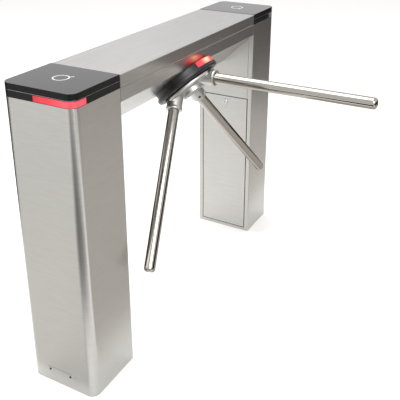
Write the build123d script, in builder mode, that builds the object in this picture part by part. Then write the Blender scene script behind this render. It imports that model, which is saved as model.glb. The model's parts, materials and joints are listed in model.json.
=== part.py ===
from build123d import *
import os
from math import acos, cos, pi, radians, sin, tan

# Visitor counter turnstile, bridge type: two sheet-metal posts joined by a bridge that carries a
# three-arm rotor. X runs along the bridge, Y across it, Z up. The arms stand out towards -Y.
# The origin is on the floor, midway between the posts. Millimetres.

# --- overall -------------------------------------------------------------------------------------
LENGTH = 1350.0  # end face to end face, along X
WIDTH = 250.0  # side to side, along Y
HEIGHT = 1000.0  # floor to the top of the caps
POST_DEPTH = 210.0  # one post, along X
SHEET = 2.0  # stainless sheet
PANEL_GAP = 3.0  # seam between a panel and its opening
RUN_FIT = 0.05  # radial clearance of a shaft that turns or slides in a hole

# --- posts ---------------------------------------------------------------------------------------
OUTER_CORNER_R = 28.0  # the two vertical corners of the outer end
INNER_CORNER_R = 3.0  # the two vertical corners facing the passage
SMALLEST_R = 0.5
CAP_H = 41.0
GLASS_H = 19.0
SEAM_H = 2.0
RING_WALL = 10.0
SPIGOT_H = 10.0
SPIGOT_WALL = 6.0
SEAM_INSET = 1.0
SEAM_WALL = 8.0
GLASS_WALL = 8.0
GLASS_TOP_T = 5.0
GLASS_EDGE_R = 1.2
LENS_DEPTH = 6.0
LENS_SIDE = 55.0  # how far the corner light runs along the side
LENS_END = 137.0  # and along the end face
LENS_MARGIN = 1.0
MARK_R = 25.0  # contactless reader mark inlaid in the glass
MARK_STROKE = 4.0
MARK_DEPTH = 0.4
MARK_TAIL = 14.0
READER = (110.0, 90.0, 1.6)  # board under the glass: X, Y, thickness
READER_SPACER = (3.5, 6.0, 6.0)  # radius, height, centre from the board's edge
READER_CHIP = (14.0, 30.0)  # side, away from the board's centre
READER_PLUG = (10.0, 40.0, 38.0)  # X, Y, away from the board's centre
READER_PART_H = 3.0

BASE_T = 8.0
ANCHOR_X = 140.0  # anchor hole pitch in one base plate
ANCHOR_Y = 190.0
ANCHOR_R = 7.0
CABLE_R = 25.0

FLANGE = 18.0  # shell face left at each side of the inner opening
SILL = 14.0
DOOR_TOP = 635.0
HEAD_RAIL = 18.0  # shell face left above the inner opening
DOOR_RETURN = 45.0
EDGE_RETURN = 12.0
PANEL_LAP = 11.0  # how far the fixed panel's backing reaches behind the shell
HINGE_R = 3.0
HINGE_IN = 6.0  # hinge axis behind the door's face
HINGE_UP = 12.0  # hinge axis above the sill
BRACKET_T = 12.0
BRACKET_H = 20.0
PIN_REACH = 5.5
LOCK_DOWN = 26.0  # lock centre below the door's top
LOCK_FACE_R = 13.0
LOCK_FACE_T = 2.5
LOCK_BARREL_R = 9.5
LOCK_BARREL_L = 13.0
LOCK_NUT_R = 14.0
LOCK_NUT_T = 6.0
LOCK_PLUG_R = 6.0
KEY_SLOT = (1.8, 7.5, 3.0)
CAM_T = 2.5
CAM_GAP = 0.5
CAM_LENGTH = 34.0
CAM_W = 14.0
STRIKE = (40.0, 10.0)

# --- electronics and nameplate -------------------------------------------------------------------
BOARD = (150.0, 200.0, 1.6)  # Y, Z, thickness
BOARD_Z = 500.0
STANDOFF = (4.0, 12.0, 7.0)  # radius, height, centre from the board's edge
RELAY = (16.0, 28.0, 22.0)  # Y, Z, pitch
RELAYS = 5
TERMINALS = [(110.0, 12.0, -88.0), (90.0, 12.0, 88.0)]  # Y, Z, centre above the board's centre
BOARD_PART_H = 14.0
CHIP = (26.0, 3.0)  # side, height
CHIP_SPOTS = [(-20.0, -50.0), (35.0, 50.0)]
SUPPLY = (98.0, 160.0, 42.0)  # Y, Z, depth
SUPPLY_TERMINAL = (88.0, 16.0, 12.0, 70.0)  # Y, Z, depth, centre above the supply's centre
VENT = (2.6, 2.0, 9.0)  # radius, depth, pitch
VENTS = 8  # each way
VENT_DOWN = 12.0
PLATE_SIZE = (105.0, 17.0, 1.5)
PLATE_AT = (8.0, 47.0)
PLATE_BEVEL = 0.4
PLATE_SCREW_PITCH = 80.0
PLATE_SCREW = (3.6, 1.6, 0.7)  # head radius, height, bevel
PLATE_HOLE_R = 2.0

# --- bridge --------------------------------------------------------------------------------------
SIDE_H = 83.0  # front side of the bridge, cover included
COVER_DROP = 1.0  # cover top below the cap tops
BODY_GAP = 1.0  # seam between cover and body
TILT = 47.0  # rotor axis below the horizontal, which is also the cone half angle of the arms
SLOPE_LENGTH = 190.0  # sloping face that carries the rotor
HUB_DOWN = 88.0  # rotor axis below the slope's upper edge, along the slope
APEX_INSET = 19.0  # point where the arm axes meet, behind the slope
JOGGLE_H = 32.0
COVER_R = 3.0
BRACKET_PLATE_T = 5.0
UPPER_BOLT_Z = HEIGHT - CAP_H - 29.0
LOWER_BOLT_Z = HEIGHT - 188.0
BRIDGE_BOLTS = [(-85.0, UPPER_BOLT_Z), (85.0, UPPER_BOLT_Z), (85.0, LOWER_BOLT_Z), (25.0, LOWER_BOLT_Z)]
BOLT_R = 5.0
BOLT_HEAD_R = 9.0
BOLT_HEAD_H = 7.0
WIRE_HOLE = (20.0, -120.0, 25.0)  # Y, Z from the top, radius
COVER_SCREWS = 5
COVER_SCREW_R = 4.0
COVER_SCREW_H = 2.0

# --- rotor and mechanism: W is measured along the rotor axis, outwards from the apex ---------------
MECH_PLATE_T = 8.0
MECH_PLATE = (250.0, 165.0)
MECH_PLATE_U = -2.5
HOUSING_R = 31.0
HOUSING_FLANGE_R = 45.0
HOUSING_FLANGE_T = 8.0
HOUSING_BACK = -55.0
HOUSING_BORE_R = 20.0
HOUSING_SCREW_PCR = 38.0
HOUSING_SCREW_R = 3.0
HOUSING_HEAD = (5.0, 6.0)  # radius, height
BEARING_OUT_R = 23.5
BEARING_IN_R = 12.5
BEARING_T = 12.0
BEARING_FRONT = 3.0
RACE_T = 3.5
SHIELD_GAP = 0.4
SHIELD_T = 1.0
SHAFT_FLANGE_R = 40.0
SHAFT_FLANGE_T = 12.0
SHAFT_BACK = -118.0
HUB_BACK = 57.0
HUB_R = 104.0
HUB_RIM_T = 12.0
HUB_RIM_FILLET = 3.0
HUB_BOSS_R = 46.0
HUB_BOSS_H = 19.0
HUB_BOLT_PCR = 30.0
HUB_BOLT_R = 4.0
HUB_BOLT_HEAD_R = 6.5
HUB_BOLT_HEAD_H = 8.0
RIM_HOLE_PCR = 90.0
RIM_HOLE_R = 4.5
SOCKET_R = 27.0
SOCKET_FROM = 70.0
SOCKET_TO = 145.0
COLLAR_R = 28.5
COLLAR_L = 8.0
ARM_R = 19.0
ARM_WALL = 2.0
ARM_FROM = 110.0
ARM_REACH = 700.0  # apex to arm tip
ARM_SEAT = 0.05
ARM_CAP_T = 12.0
ARM_PLUG_L = 15.0
ARM_SCREW_AT = 130.0
ARM_SCREW_R = 4.0
SHROUD_R = 125.0
SHROUD_NECK_R = 118.0
SHROUD_NECK_T = 19.0
SHROUD_T = 36.0
SHROUD_WALL = 4.0
SHROUD_HOLE_R = 45.0
SHROUD_EDGE_R = 8.0
SHROUD_POST_PCR = 75.0
SHROUD_POST_R = 7.0
SCREW_HEAD_R = 4.5
SCREW_HEAD_H = 3.0
INDICATOR_IN_R = 107.0
INDICATOR_OUT_R = 121.0
INDICATOR_HALF_DEG = 25.0
GEAR_W = (-68.0, -60.0)
GEAR_MODULE = 1.5
GEAR_TEETH = 60
PINION_TEETH = 20
GEAR_SLACK = 0.1  # added to the gears' centre distance
BACKLASH = 0.25
ADDENDUM = 0.9
DEDENDUM = 1.25
PRESSURE_DEG = 20.0
DAMPER_R = 22.0
DAMPER_W = (-57.0, -27.0)
DAMPER_FOOT_R = 10.0
DAMPER_SHAFT_R = 4.0
DAMPER_BORE_L = 14.0
PINION_STUB_L = 12.0  # pinion shaft inside the damper
REAR_PLATE_T = 4.0
REAR_PLATE_W = -72.0
REAR_PLATE = (262.0, 156.0)
REAR_PLATE_U = -4.0
REAR_PLATE_HOLE_R = 22.0
PILLARS = [(-105.0, 60.0), (105.0, 60.0), (-105.0, -68.0), (105.0, -68.0)]
PILLAR_R = 8.0
PILLAR_NUT_H = 5.0
STUDS = [(-60.0, 70.0), (60.0, 70.0), (-60.0, -76.0), (60.0, -76.0)]
STUD_R = 4.0
STUD_L = 16.0
STUD_NUT_H = 6.0
DISC_W = (-92.0, -84.0)
DISC_R = 45.0
NOTCHES = 12
NOTCH_W = 12.0
NOTCH_DEPTH = 8.0
PAWL_PIVOT = (52.0, 46.0)
PAWL_PIN_R = 4.0
PAWL_BOSS_R = 9.0
PAWL_BAR = (56.0, 66.0, -24.0)  # inner side, outer side, foot
PAWL_NOSE_HALF = 3.5
PAWL_CLEAR = 1.2
PAWL_SHOULDER = 20.0
PAWL_DRAFT = 0.5
PAWL_HEEL = 2.0
LINK = (61.0, -16.0)
LINK_PIN_R = 2.5
LINK_SLOT_GAP = 0.5
FORK_HALF = 7.0
FORK_GAP = 1.5
FORK_T = 3.0
FORK_X = (55.0, 70.0, 76.0)
PLUNGER_R = 5.0
PLUNGER_END = 118.0
SOLENOID = (88.0, 128.0, 26.0, 24.0)  # X from, X to, tall, deep
SOLENOID_END_T = 6.0
SENSOR_DISC_W = (-104.0, -102.0)
SENSOR_DISC_R = 38.0
SENSOR_CLEAR = 3.0  # sensor body outside the index disc
SENSOR_W = 18.0
SENSOR_BODY = 14.0
SENSOR_JAW_L = 20.0
SENSOR_JAW_T = (4.0, 5.0)
SENSOR_JAW_GAP = 2.0
SPACER_R = 17.0
SHAFT_NUT_W = (-113.0, -104.0)

# --- worked out from the above ---------------------------------------------------------------------
POST_X = LENGTH / 2 - POST_DEPTH / 2  # post centre, away from the middle
INNER_X = LENGTH / 2 - POST_DEPTH  # inner face of a post
RING_BASE = HEIGHT - CAP_H
SEAM_BASE = HEIGHT - GLASS_H - SEAM_H
RING_H = SEAM_BASE - RING_BASE
OPENING_TOP = RING_BASE - HEAD_RAIL
DOOR_FOOT = SILL + PANEL_GAP
PANEL_FOOT = DOOR_TOP + PANEL_GAP
OPENING_HALF = WIDTH / 2 - FLANGE
DOOR_HALF = OPENING_HALF - PANEL_GAP
LOCK_Z = DOOR_TOP - LOCK_DOWN
CAM_X = -INNER_X - SHEET - EDGE_RETURN - CAM_GAP
SIDE_FOOT = HEIGHT - SIDE_H
SLANT = radians(TILT)
BOTTOM_Y = -WIDTH / 2 + SLOPE_LENGTH * sin(SLANT)
BOTTOM_Z = SIDE_FOOT - SLOPE_LENGTH * cos(SLANT)
APEX_Y = -WIDTH / 2 + HUB_DOWN * sin(SLANT) + APEX_INSET * cos(SLANT)
APEX_Z = SIDE_FOOT - HUB_DOWN * cos(SLANT) + APEX_INSET * sin(SLANT)
SLOPE_IN = APEX_INSET - SHEET  # W of the slope's inner side
PLATE_BACK = SLOPE_IN - MECH_PLATE_T
REAR_FACE = REAR_PLATE_W - REAR_PLATE_T
DISC_T = DISC_W[1] - DISC_W[0]
DISC_MID = sum(DISC_W) / 2
GEAR_DISTANCE = GEAR_MODULE * (GEAR_TEETH + PINION_TEETH) / 2 + GEAR_SLACK
REAR_BEARING = HOUSING_BACK + SHEET
SHROUD_FRONT = APEX_INSET + SHROUD_T

# The rotor plane: local Z is the rotor axis pointing out of the slope, local X the bridge.
HUB = Plane(origin=(0, APEX_Y, APEX_Z), x_dir=(1, 0, 0), z_dir=(0, -cos(SLANT), -sin(SLANT)))
PINION = Plane(
    origin=HUB.from_local_coords(Vector(0, -GEAR_DISTANCE, 0)), x_dir=HUB.x_dir, z_dir=HUB.z_dir
)
ARM_TURNS = [0, 120, 240]


def save(shape, name):
    """Labels a finished piece and writes its STEP file."""
    shape.label = name
    export_step(shape, f"parts/{name}.step")


def save_pair(shape, name):
    """Writes a piece of the left post and its mirror image for the right post."""
    save(shape, f"{name}_left")
    save(mirror(shape, about=Plane.YZ), f"{name}_right")


def post_outline(inset=0.0):
    """Plan of the left post, drawn in by inset: round outer corners, crisp inner ones."""
    with BuildSketch() as outline:
        with Locations((-POST_X, 0)):
            Rectangle(POST_DEPTH - 2 * inset, WIDTH - 2 * inset)
        fillet(outline.vertices().group_by(Axis.X)[0], max(OUTER_CORNER_R - inset, SMALLEST_R))
        fillet(outline.vertices().group_by(Axis.X)[-1], max(INNER_CORNER_R - inset, SMALLEST_R))
    return outline.sketch


def post_band(outside, inside):
    """Closed band between two outlines of the left post."""
    with BuildSketch() as band:
        add(post_outline(outside))
        add(post_outline(inside), mode=Mode.SUBTRACT)
    return band.sketch


def corner_band():
    """Plan of the corner light: the part of the outer band around the outer -Y corner."""
    with BuildSketch() as band:
        add(post_band(0, LENS_DEPTH))
        with Locations((-LENGTH / 2, -WIDTH / 2)):
            Rectangle(LENS_SIDE, LENS_END, align=(Align.MIN, Align.MIN), mode=Mode.INTERSECT)
    return band.sketch


def bridge_outline(top, inset=0.0):
    """Section of the bridge across X, up to a height, drawn in by inset."""
    with BuildSketch() as outline:
        with BuildLine():
            Polyline(
                (-WIDTH / 2, top), (-WIDTH / 2, SIDE_FOOT), (BOTTOM_Y, BOTTOM_Z),
                (WIDTH / 2, BOTTOM_Z), (WIDTH / 2, top), close=True,
            )
        make_face()
        if inset:
            offset(amount=-inset, kind=Kind.INTERSECTION)
    return outline.sketch


def reader_mark_outline():
    """Ring with a short tail, centred on the left cap."""
    with BuildSketch() as mark:
        with Locations((-POST_X, 0)):
            Circle(MARK_R)
            Circle(MARK_R - MARK_STROKE, mode=Mode.SUBTRACT)
            with PolarLocations(MARK_R - MARK_STROKE / 2 + MARK_TAIL / 2, 1, start_angle=-45):
                Rectangle(MARK_TAIL, MARK_STROKE)
    return mark.sketch


def arm_plane(turn):
    """Plane at the apex whose Z runs along an arm turned from the uppermost position."""
    angle = radians(turn)
    outward = (
        HUB.x_dir * sin(angle) * sin(SLANT)
        + HUB.y_dir * cos(angle) * sin(SLANT)
        + HUB.z_dir * cos(SLANT)
    )
    tangent = HUB.x_dir * cos(angle) - HUB.y_dir * sin(angle)
    return Plane(origin=HUB.origin, x_dir=tangent, z_dir=outward)


def screw_plane(turn):
    """Plane on an arm's axis whose Z points out of the socket's front side."""
    arm = arm_plane(turn)
    return Plane(origin=arm.origin + arm.z_dir * ARM_SCREW_AT, x_dir=arm.x_dir, z_dir=-arm.y_dir)


def indicator_outline():
    """Arc-shaped light in the uppermost part of the shroud's neck."""
    half = radians(INDICATOR_HALF_DEG)
    reach = 2 * SHROUD_R
    with BuildSketch() as outline:
        Circle(INDICATOR_OUT_R)
        Circle(INDICATOR_IN_R, mode=Mode.SUBTRACT)
        with BuildLine():
            Polyline(
                (0, 0), (-reach * sin(half), reach * cos(half)), (reach * sin(half), reach * cos(half)),
                close=True,
            )
        make_face(mode=Mode.INTERSECT)
    return outline.sketch


def gear_outline(teeth, first_deg):
    """Spur gear profile with involute flanks, as a closed list of points."""
    pitch_r = GEAR_MODULE * teeth / 2
    base_r = pitch_r * cos(radians(PRESSURE_DEG))
    tip_r = pitch_r + ADDENDUM * GEAR_MODULE
    root_r = pitch_r - DEDENDUM * GEAR_MODULE
    pressure = radians(PRESSURE_DEG)
    half_at_pitch = pi / (2 * teeth) - BACKLASH / (2 * pitch_r)

    def half_angle(radius):
        """Half of the tooth's angular thickness at a radius."""
        at = acos(min(1.0, base_r / max(radius, base_r)))
        return half_at_pitch + (tan(pressure) - pressure) - (tan(at) - at)

    steps = 4
    start_r = max(root_r, base_r)
    flank = [start_r + (tip_r - start_r) * i / steps for i in range(steps + 1)]
    if root_r < start_r:
        flank.insert(0, root_r)
    points = []
    for tooth in range(teeth):
        centre = radians(first_deg) + 2 * pi * tooth / teeth
        points += [(r, centre - half_angle(r)) for r in flank]
        points += [(r, centre + half_angle(r)) for r in reversed(flank)]
    return [(r * cos(a), r * sin(a)) for r, a in points]


os.makedirs("parts", exist_ok=True)

# === posts =========================================================================================
with BuildPart() as base_plate:
    with BuildSketch():
        add(post_outline(SHEET))
        with Locations((-POST_X, 0)):
            Circle(CABLE_R, mode=Mode.SUBTRACT)
            with GridLocations(ANCHOR_X, ANCHOR_Y, 2, 2):
                Circle(ANCHOR_R, mode=Mode.SUBTRACT)
    extrude(amount=BASE_T)
save_pair(base_plate.part, "base_plate")

INNER_FACE = Plane.YZ.offset(-INNER_X)  # local X is Y, local Y is Z, pointing into the passage
with BuildPart() as post_shell:
    with BuildSketch():
        add(post_band(0, SHEET))
    extrude(amount=RING_BASE)
    with BuildSketch(INNER_FACE):
        with Locations((0, SILL)):
            Rectangle(2 * OPENING_HALF, OPENING_TOP - SILL, align=(Align.CENTER, Align.MIN))
    extrude(amount=-2 * SHEET, mode=Mode.SUBTRACT)
save_pair(post_shell.part, "post_shell")

with BuildPart() as upper_panel:
    with BuildSketch(INNER_FACE):
        with Locations((0, PANEL_FOOT)):
            Rectangle(2 * DOOR_HALF, OPENING_TOP - PANEL_GAP - PANEL_FOOT, align=(Align.CENTER, Align.MIN))
    extrude(amount=-SHEET)
    with BuildSketch(INNER_FACE.offset(-SHEET)):
        with Locations((0, PANEL_FOOT)):
            Rectangle(
                2 * (OPENING_HALF + PANEL_LAP), OPENING_TOP + SPIGOT_WALL - PANEL_FOOT,
                align=(Align.CENTER, Align.MIN),
            )
    extrude(amount=-SHEET)
    with BuildSketch(INNER_FACE.offset(-2 * SHEET)):
        with Locations((0, PANEL_FOOT)):
            Rectangle(*STRIKE, align=(Align.CENTER, Align.MIN))
    extrude(amount=-(EDGE_RETURN - SHEET))
    with BuildSketch(INNER_FACE):
        with Locations(BRIDGE_BOLTS):
            Circle(BOLT_R)
        with Locations((WIRE_HOLE[0], HEIGHT + WIRE_HOLE[1])):
            Circle(WIRE_HOLE[2])
    extrude(amount=-2 * SHEET, mode=Mode.SUBTRACT)
save_pair(upper_panel.part, "upper_panel")

HINGE_Z = SILL + HINGE_UP
HINGE_X = -INNER_X - HINGE_IN
with BuildPart() as door:
    door_height = DOOR_TOP - DOOR_FOOT
    with BuildSketch(INNER_FACE):
        with Locations((0, DOOR_FOOT)):
            Rectangle(2 * DOOR_HALF, door_height, align=(Align.CENTER, Align.MIN))
        with Locations((0, LOCK_Z)):
            Circle(LOCK_BARREL_R, mode=Mode.SUBTRACT)
    extrude(amount=-SHEET)
    with BuildSketch(INNER_FACE.offset(-SHEET)):
        with Locations((-DOOR_HALF + SHEET / 2, DOOR_FOOT), (DOOR_HALF - SHEET / 2, DOOR_FOOT)):
            Rectangle(SHEET, door_height, align=(Align.CENTER, Align.MIN))
    extrude(amount=-DOOR_RETURN)
    with BuildSketch(INNER_FACE.offset(-SHEET)):
        with Locations((0, DOOR_FOOT + SHEET / 2), (0, DOOR_TOP - SHEET / 2)):
            Rectangle(2 * DOOR_HALF, SHEET)
    extrude(amount=-EDGE_RETURN)
    with BuildSketch(Plane.XZ):
        with Locations((HINGE_X, HINGE_Z)):
            Circle(HINGE_R + RUN_FIT)
    extrude(amount=WIDTH / 2, both=True, mode=Mode.SUBTRACT)
save_pair(door.part, "door")

with BuildPart() as hinge_brackets:
    with BuildSketch(Plane.XZ.offset(OPENING_HALF)):
        with Locations((-INNER_X - SHEET - BRACKET_T / 2, HINGE_Z)):
            Rectangle(BRACKET_T, BRACKET_H)
    extrude(amount=FLANGE - SHEET - INNER_CORNER_R)
    with BuildSketch(Plane.XZ.offset(OPENING_HALF)):
        with Locations((HINGE_X, HINGE_Z)):
            Circle(HINGE_R)
    extrude(amount=-PIN_REACH)
    mirror(about=Plane.XZ)
    mirror(about=Plane.YZ)
save(hinge_brackets.part, "hinge_brackets")

with BuildPart() as lock_body:
    with BuildSketch(INNER_FACE):
        with Locations((0, LOCK_Z)):
            Circle(LOCK_FACE_R)
    extrude(amount=LOCK_FACE_T)
    chamfer(lock_body.faces().sort_by(Axis.X)[-1].edges(), LOCK_FACE_T / 4)
    with BuildSketch(INNER_FACE):
        with Locations((0, LOCK_Z)):
            Circle(LOCK_BARREL_R)
    extrude(amount=-LOCK_BARREL_L)
    with BuildSketch(INNER_FACE.offset(-SHEET)):
        with Locations((0, LOCK_Z)):
            RegularPolygon(LOCK_NUT_R, 6)
    extrude(amount=-LOCK_NUT_T)
    with BuildSketch(INNER_FACE.offset(LOCK_FACE_T)):
        with Locations((0, LOCK_Z)):
            Circle(LOCK_PLUG_R + RUN_FIT)
    extrude(amount=-(LOCK_FACE_T + LOCK_BARREL_L), mode=Mode.SUBTRACT)
save_pair(lock_body.part, "lock_body")

with BuildPart() as lock_plug:
    plug_face = INNER_FACE.offset(LOCK_FACE_T - CAM_GAP)
    with BuildSketch(Plane.YZ.offset(CAM_X)):
        with Locations((0, LOCK_Z)):
            Circle(LOCK_PLUG_R)
    extrude(amount=-INNER_X + LOCK_FACE_T - CAM_GAP - CAM_X)
    with BuildSketch(plug_face):
        with Locations((0, LOCK_Z)):
            Rectangle(KEY_SLOT[0], KEY_SLOT[1])
    extrude(amount=-KEY_SLOT[2], mode=Mode.SUBTRACT)
    with BuildSketch(Plane.YZ.offset(CAM_X)):
        with Locations(((CAM_LENGTH - CAM_W / 2) / 2, LOCK_Z)):
            SlotOverall(CAM_LENGTH + CAM_W / 2, CAM_W)
    extrude(amount=-CAM_T)
save_pair(lock_plug.part, "lock_plug")

# === caps ==========================================================================================
with BuildPart() as cap_ring:
    with BuildSketch(Plane.XY.offset(RING_BASE)):
        add(post_band(0, RING_WALL))
    extrude(amount=RING_H)
    with BuildSketch(Plane.XY.offset(RING_BASE - SPIGOT_H)):
        add(post_band(SHEET, SHEET + SPIGOT_WALL))
    extrude(amount=SPIGOT_H)
    with BuildSketch(Plane.XY.offset(RING_BASE + LENS_MARGIN)):
        add(corner_band())
    extrude(amount=RING_H - 2 * LENS_MARGIN, mode=Mode.SUBTRACT)
save_pair(cap_ring.part, "cap_ring")

with BuildPart() as corner_lens:
    with BuildSketch(Plane.XY.offset(RING_BASE + LENS_MARGIN)):
        add(corner_band())
    extrude(amount=RING_H - 2 * LENS_MARGIN)
save_pair(corner_lens.part, "corner_lens")

with BuildPart() as cap_seams:
    with BuildSketch(Plane.XY.offset(SEAM_BASE)):
        add(post_band(SEAM_INSET, SEAM_INSET + SEAM_WALL))
    extrude(amount=SEAM_H)
    mirror(about=Plane.YZ)
save(cap_seams.part, "cap_seams")

with BuildPart() as cap_glass:
    with BuildSketch(Plane.XY.offset(SEAM_BASE + SEAM_H)):
        add(post_outline())
    extrude(amount=GLASS_H)
    fillet(cap_glass.faces().sort_by(Axis.Z)[-1].edges(), GLASS_EDGE_R)
    with BuildSketch(Plane.XY.offset(SEAM_BASE + SEAM_H)):
        add(post_outline(GLASS_WALL))
    extrude(amount=GLASS_H - GLASS_TOP_T, mode=Mode.SUBTRACT)
    with BuildSketch(Plane.XY.offset(HEIGHT - MARK_DEPTH)):
        add(reader_mark_outline())
    extrude(amount=MARK_DEPTH, mode=Mode.SUBTRACT)
save_pair(cap_glass.part, "cap_glass")

with BuildPart() as reader_marks:
    with BuildSketch(Plane.XY.offset(HEIGHT - MARK_DEPTH)):
        add(reader_mark_outline())
    extrude(amount=MARK_DEPTH)
    mirror(about=Plane.YZ)
save(reader_marks.part, "reader_marks")

with BuildPart() as reader_boards:
    roof = HEIGHT - GLASS_TOP_T
    board_top = roof - READER_SPACER[1]
    with BuildSketch(Plane.XY.offset(board_top)):
        with Locations((-POST_X, 0)):
            Rectangle(READER[0], READER[1])
    extrude(amount=-READER[2])
    with BuildSketch(Plane.XY.offset(board_top)):
        with Locations((-POST_X, 0)):
            with GridLocations(
                READER[0] - 2 * READER_SPACER[2], READER[1] - 2 * READER_SPACER[2], 2, 2
            ):
                Circle(READER_SPACER[0])
    extrude(amount=READER_SPACER[1])
    with BuildSketch(Plane.XY.offset(board_top)):
        with Locations((-POST_X, 0)):
            Circle(MARK_R)
            Circle(MARK_R - MARK_STROKE, mode=Mode.SUBTRACT)
    extrude(amount=READER[2])
    with BuildSketch(Plane.XY.offset(board_top - READER[2])):
        with Locations((-POST_X + READER_CHIP[1], 0)):
            Rectangle(READER_CHIP[0], READER_CHIP[0])
        with Locations((-POST_X - READER_PLUG[2], 0)):
            Rectangle(READER_PLUG[0], READER_PLUG[1])
    extrude(amount=-READER_PART_H)
    mirror(about=Plane.YZ)
save(reader_boards.part, "reader_boards")

# === electronics inside the posts ==================================================================
END_WALL = Plane.YZ.offset(-LENGTH / 2 + SHEET)  # inside of the left end wall, pointing inwards
with BuildPart() as control_board:
    with BuildSketch(END_WALL):
        with Locations((0, BOARD_Z)):
            with GridLocations(BOARD[0] - 2 * STANDOFF[2], BOARD[1] - 2 * STANDOFF[2], 2, 2):
                Circle(STANDOFF[0])
    extrude(amount=STANDOFF[1])
    with BuildSketch(END_WALL.offset(STANDOFF[1])):
        with Locations((0, BOARD_Z)):
            Rectangle(BOARD[0], BOARD[1])
    extrude(amount=BOARD[2])
    board_face = END_WALL.offset(STANDOFF[1] + BOARD[2])
    with BuildSketch(board_face):
        with Locations((0, BOARD_Z)):
            with GridLocations(RELAY[2], 1, RELAYS, 1):
                Rectangle(RELAY[0], RELAY[1])
        for across, tall, up in TERMINALS:
            with Locations((0, BOARD_Z + up)):
                Rectangle(across, tall)
    extrude(amount=BOARD_PART_H)
    with BuildSketch(board_face):
        with Locations([(y, BOARD_Z + z) for y, z in CHIP_SPOTS]):
            Rectangle(CHIP[0], CHIP[0])
    extrude(amount=CHIP[1])
save(control_board.part, "control_board")

SUPPLY_FACE = Plane.YZ.offset(LENGTH / 2 - SHEET - SUPPLY[2])
with BuildPart() as power_supply:
    with BuildSketch(SUPPLY_FACE):
        with Locations((0, BOARD_Z)):
            Rectangle(SUPPLY[0], SUPPLY[1])
    extrude(amount=SUPPLY[2])
    with BuildSketch(SUPPLY_FACE):
        with Locations((0, BOARD_Z + SUPPLY_TERMINAL[3])):
            Rectangle(SUPPLY_TERMINAL[0], SUPPLY_TERMINAL[1])
    extrude(amount=SUPPLY_TERMINAL[2], mode=Mode.SUBTRACT)
    with BuildSketch(SUPPLY_FACE):
        with Locations((0, BOARD_Z - VENT_DOWN)):
            with GridLocations(VENT[2], VENT[2], VENTS, VENTS):
                Circle(VENT[0])
    extrude(amount=VENT[1], mode=Mode.SUBTRACT)
save(power_supply.part, "power_supply")

# === nameplate =====================================================================================
END_FACE = Plane(origin=(-LENGTH / 2, 0, 0), x_dir=(0, -1, 0), z_dir=(-1, 0, 0))
with BuildPart() as nameplate:
    with BuildSketch(END_FACE):
        with Locations((-PLATE_AT[0], PLATE_AT[1])):
            SlotOverall(PLATE_SIZE[0], PLATE_SIZE[1])
            with GridLocations(PLATE_SCREW_PITCH, 1, 2, 1):
                Circle(PLATE_HOLE_R, mode=Mode.SUBTRACT)
    extrude(amount=PLATE_SIZE[2])
    chamfer(nameplate.faces().sort_by(Axis.X)[0].outer_wire().edges(), PLATE_BEVEL)
save(nameplate.part, "nameplate")

with BuildPart() as nameplate_screws:
    with BuildSketch(END_FACE.offset(PLATE_SIZE[2])):
        with Locations((-PLATE_AT[0], PLATE_AT[1])):
            with GridLocations(PLATE_SCREW_PITCH, 1, 2, 1):
                Circle(PLATE_SCREW[0])
    extrude(amount=PLATE_SCREW[1])
    chamfer(nameplate_screws.faces().sort_by(Axis.X)[0:2].edges(), PLATE_SCREW[2])
    with BuildSketch(END_FACE):
        with Locations((-PLATE_AT[0], PLATE_AT[1])):
            with GridLocations(PLATE_SCREW_PITCH, 1, 2, 1):
                Circle(PLATE_HOLE_R)
    extrude(amount=PLATE_SIZE[2])
save(nameplate_screws.part, "nameplate_screws")

# === bridge ========================================================================================
ACROSS = Plane.YZ.offset(-INNER_X)  # section plane at the left end of the bridge
BODY_TOP = RING_BASE - BODY_GAP
with BuildPart() as bridge_body:
    with BuildSketch(ACROSS):
        add(bridge_outline(BODY_TOP))
        add(bridge_outline(BODY_TOP + RING_WALL, SHEET), mode=Mode.SUBTRACT)
    extrude(amount=2 * INNER_X)
    with BuildSketch(ACROSS):
        side = WIDTH / 2 - SHEET - SHEET / 2
        with Locations((-side, BODY_TOP), (side, BODY_TOP)):
            Rectangle(SHEET, JOGGLE_H)
    extrude(amount=2 * INNER_X)
    with BuildSketch(HUB.offset(SLOPE_IN)):
        Circle(HOUSING_R + SHEET)
    extrude(amount=2 * SHEET, mode=Mode.SUBTRACT)
    with BuildSketch(HUB.offset(SLOPE_IN)):
        with Locations(STUDS):
            Circle(STUD_R)
    extrude(amount=-STUD_L)
save(bridge_body.part, "bridge_body")

COVER_TOP = HEIGHT - COVER_DROP
with BuildPart() as bridge_cover:
    with BuildSketch(ACROSS) as cover_section:
        with Locations((0, RING_BASE)):
            Rectangle(WIDTH, COVER_TOP - RING_BASE, align=(Align.CENTER, Align.MIN))
        fillet(cover_section.vertices().group_by(Axis.Z)[-1], COVER_R)
        with Locations((0, RING_BASE)):
            Rectangle(
                WIDTH - 2 * SHEET, COVER_TOP - SHEET - RING_BASE, align=(Align.CENTER, Align.MIN),
                mode=Mode.SUBTRACT,
            )
    extrude(amount=2 * INNER_X)
save(bridge_cover.part, "bridge_cover")

with BuildPart() as cover_screws:
    screw_z = RING_BASE + JOGGLE_H / 4
    with BuildSketch(Plane.XZ.offset(-WIDTH / 2)):
        with Locations((0, screw_z)):
            with GridLocations(2 * INNER_X / COVER_SCREWS, 1, COVER_SCREWS, 1):
                Circle(COVER_SCREW_R)
    extrude(amount=-COVER_SCREW_H)
    chamfer(cover_screws.faces().group_by(Axis.Y)[-1].edges(), COVER_SCREW_H / 2.5)
save(cover_screws.part, "cover_screws")

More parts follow.
